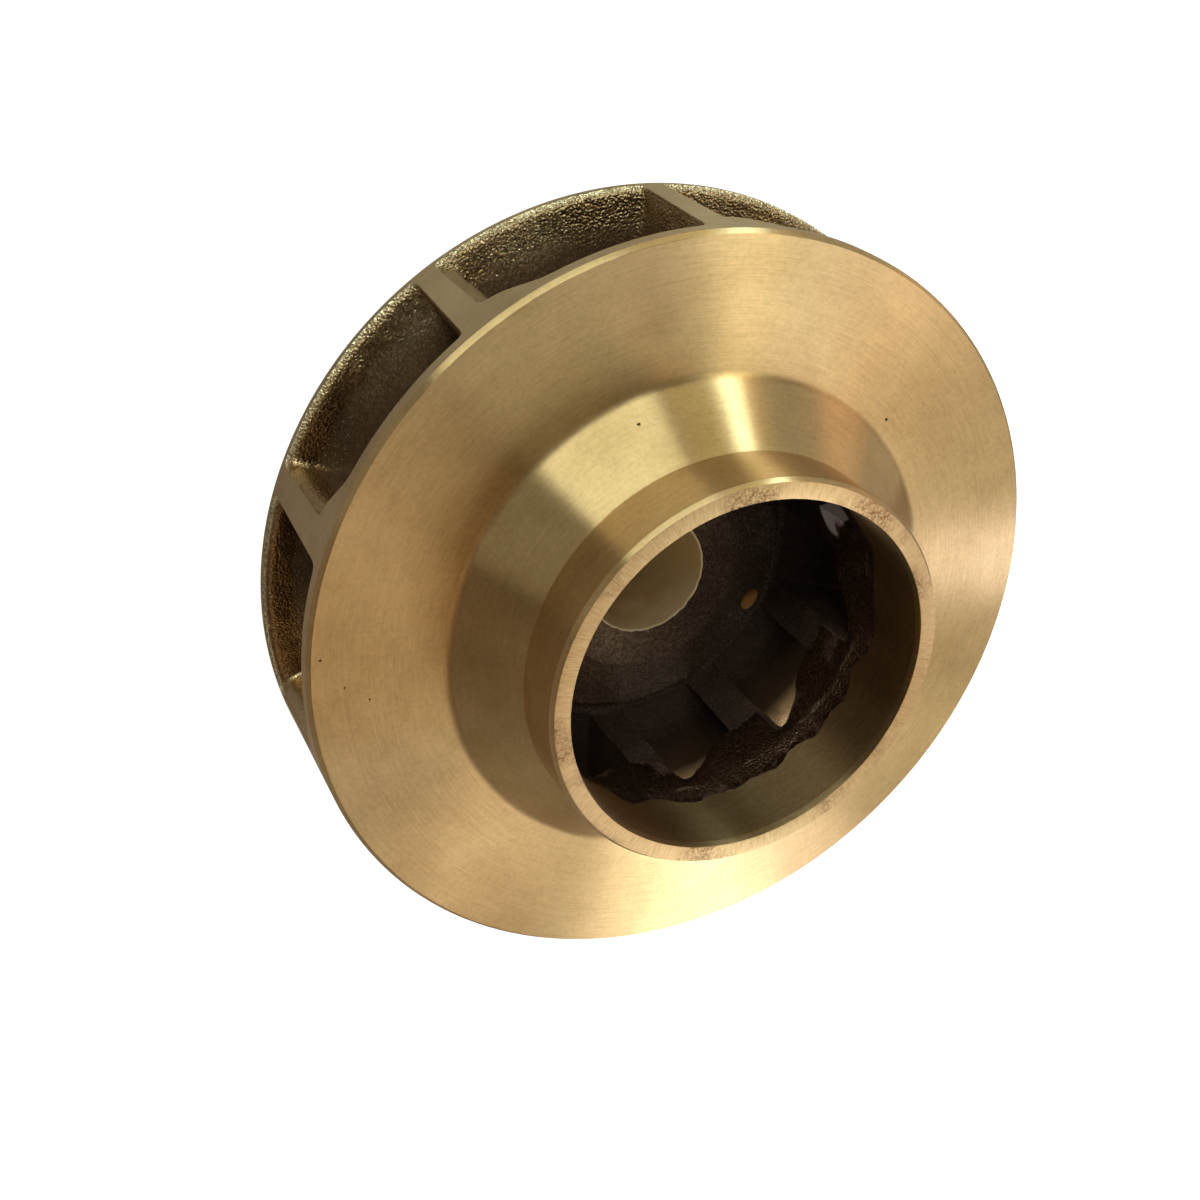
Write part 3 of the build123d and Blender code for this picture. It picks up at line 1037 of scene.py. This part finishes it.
# Windows of the room: azimuths from and to, elevations from and to, and glow.
WINDOWS = (
    (80, 130, 15, 41, (3.4, 4.0, 3.5)),
    (51, 59, 0, 30, (4.4, 6.6, 6.9)),
    (42, 53, 30, 42, (4.4, 2.6, 1.2)),
    (30, 44, 42, 52, (3.8, 3.7, 1.6)),
    (290, 299, 0, 43, (4.7, 6.5, 6.6)),
    (281, 290, 0, 26, (5.0, 4.2, 4.3)),
    (300, 306.5, 28, 46, (5.5, 5.5, 6.0)),
    (311, 330, 43, 60, (2.15, 2.25, 1.95)),
    (306.5, 318, 20, 46, (1.1, 1.15, 1.0)),
    (299, 311, 46, 60, (1.75, 1.75, 1.45)),
    (270, 299, 43, 50, (1.9, 1.75, 1.55)),
    (323, 330, 34, 43, (3.0, 3.2, 4.0)),
    (330, 338, 0, 25, (4.2, 4.5, 5.6)),
    (0, 40, 52, 62, (1.2, 1.5, 1.3)),
    (330, 360, 43, 60, (1.1, 0.95, 0.85)),
    (-10, 50, 0, 9, (1.8, 2.0, 1.8)),
    (130, 172, 25, 50, (0.57, 0.62, 0.54)),
    (140, 262, 0, 8, (0.68, 0.68, 0.52)),
    (4, 20, 10, 36, (1.25, 0.75, 0.42)),
    (60, 80, 0, 25, (1.45, 1.5, 1.0)),
    (200, 300, 52, 90, (0.5, 0.37, 0.21)),
)
WALL_DISTANCE = 1.7
WINDOW_DISTANCE = 1.5        # of the first window; each next one stands a little behind it
WINDOW_SPACING = 0.005


def sky_patch(west, east, low, high, distance, columns, rows):
    """Grid on the sphere of a given radius about the origin, between two azimuths and two
    elevations, with its faces towards the middle."""
    a, e = np.meshgrid(np.linspace(west, east, columns + 1), np.linspace(low, high, rows + 1))
    flat = distance * np.cos(np.radians(e))
    points = polar(flat, a, distance * np.sin(np.radians(e))).reshape(-1, 3)
    faces = grid_faces(rows + 1, columns + 1, False)[..., ::-1].reshape(-1, 4)
    return points, faces


def studio_room(walls):
    """The room that the bronze mirrors: dim walls all round and bright windows in them, each a
    patch with a glow of its own. Only reflections see it."""
    patches = [(*sky_patch(0, 360, -1, 90, WALL_DISTANCE, 72, 18), walls[:3])]
    for place, (west, east, low, high, glow) in enumerate(WINDOWS):
        distance = WINDOW_DISTANCE + WINDOW_SPACING * place
        patches.append((*sky_patch(west, east, low, high, distance, 8, 6), glow))
    points, faces, glows, start = [], [], [], 0
    for patch, quads, glow in patches:
        points.append(patch)
        faces.append(quads + start)
        glows.append(np.tile([*glow, 1.0], (len(patch), 1)))
        start += len(patch)
    mesh = bpy.data.meshes.new("studio_room")
    mesh.from_pydata(np.concatenate(points).tolist(), [], np.concatenate(faces).tolist())
    layer = mesh.color_attributes.new("glow", "FLOAT_COLOR", "POINT")
    layer.data.foreach_set("color", np.concatenate(glows).astype(np.float32).ravel())
    n = new_nodes("studio_room")
    glow = n.add("Attribute", {"attribute_name": "glow"})
    mesh.materials.append(n.finish(n.add("Emission", Color=glow.outputs[0], Strength=1.0)))
    room = placed("studio_room", mesh)
    room.visible_camera = room.visible_diffuse = room.visible_shadow = False
    room.visible_transmission = room.visible_volume_scatter = False


def studio_floor(tone, table):
    """A wide plain floor under the boss; the camera sees it white, with the soft shadow, and the
    bronze mirrors it as a dim table."""
    mesh = bpy.data.meshes.new("studio_floor")
    half, z = 4.0, -0.0002
    corners = [(-half, -half, z), (half, -half, z), (half, half, z), (-half, half, z)]
    mesh.from_pydata(corners, [], [(0, 1, 2, 3)])
    floor = placed("studio_floor", mesh)
    n = new_nodes("pale_floor")
    shown = n.add("LightPath").outputs["Is Camera Ray"]
    pale = n.add("BsdfDiffuse", Color=tuple(tone))
    lift = n.add("Emission", Color=WHITE, Strength=0.68)
    both = n.add("AddShader", i0=pale.outputs[0], i1=lift.outputs[0])
    dim = n.add("BsdfDiffuse", Color=tuple(table))
    mix = n.add("MixShader", i0=shown, i1=dim.outputs[0], i2=both.outputs[0])
    mesh.materials.append(n.finish(mix))


def studio_camera(studio):
    """The camera, from its azimuth, elevation and roll: back is the direction to the camera, up
    is the upright direction turned by the roll, and right completes them."""
    back = direction(studio.azimuth, studio.elevation)
    level = Vector((0, 0, 1)).cross(back).normalized()
    up = back.cross(level) * math.cos(studio.roll) + level * math.sin(studio.roll)
    right = up.cross(back)
    data = bpy.data.cameras.new("studio_camera")
    data.sensor_width = 36.0
    data.lens = studio.lens
    data.shift_x, data.shift_y = studio.shift
    data.clip_start, data.clip_end = 0.01, 20.0
    camera = placed("studio_camera", data)
    turn = Matrix((right, up, back)).transposed()
    camera.matrix_world = Matrix.Translation(Vector(studio.place)) @ turn.to_4x4()
    bpy.context.scene.camera = camera


# ---- operators, panel and registration --------------------


class IMPELLER_OT_casting(bpy.types.Operator):
    """Makes the whole impeller casting in place of its CAD node"""

    bl_idname = "impeller.casting"
    bl_label = "Impeller casting"

    def execute(self, context):
        s = in_mm(context.scene.impeller_sizes)
        points, faces, kinds = impeller_mesh(s)
        materials = bronze_materials(context.scene.impeller_finish)
        piece = new_object("impeller_casting", points, faces, kinds, materials)
        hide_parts("impeller")
        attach(piece, "root")
        return {"FINISHED"}


class IMPELLER_OT_studio(bpy.types.Operator):
    """Makes the floor, the room, the soft lamps, the white surroundings and the camera"""

    bl_idname = "impeller.studio"
    bl_label = "Studio"

    def execute(self, context):
        studio = context.scene.impeller_studio
        context.scene.view_settings.view_transform = "Standard"
        studio_world()
        studio_floor(studio.floor, studio.table)
        studio_room(studio.walls)
        soft_lamp("window_lamp", 108.0, 40.0, 8.0)
        soft_lamp("far_lamp", 310.0, 55.0, 6.0)
        studio_camera(studio)
        return {"FINISHED"}


class IMPELLER_PT_panel(bpy.types.Panel):
    """Sizes, finish and studio of the impeller"""

    bl_label = "Pump impeller"
    bl_idname = "IMPELLER_PT_panel"
    bl_space_type = "VIEW_3D"
    bl_region_type = "UI"
    bl_category = "Impeller"

    def draw(self, context):
        layout = self.layout
        for operator in ("impeller.casting", "impeller.studio"):
            layout.operator(operator)
        for name, group in GROUPS.items():
            box = layout.box()
            for value in group.__annotations__:
                box.prop(getattr(context.scene, name), value)


CLASSES = (*GROUPS.values(), IMPELLER_OT_casting, IMPELLER_OT_studio, IMPELLER_PT_panel)


def register():
    for cls in CLASSES:
        bpy.utils.register_class(cls)
    for name, group in GROUPS.items():
        setattr(bpy.types.Scene, name, bpy.props.PointerProperty(type=group))


def unregister():
    for name in GROUPS:
        delattr(bpy.types.Scene, name)
    for cls in reversed(CLASSES):
        bpy.utils.unregister_class(cls)


def main():
    register()
    bpy.ops.impeller.casting()
    bpy.ops.impeller.studio()


if __name__ == "__main__":
    main()
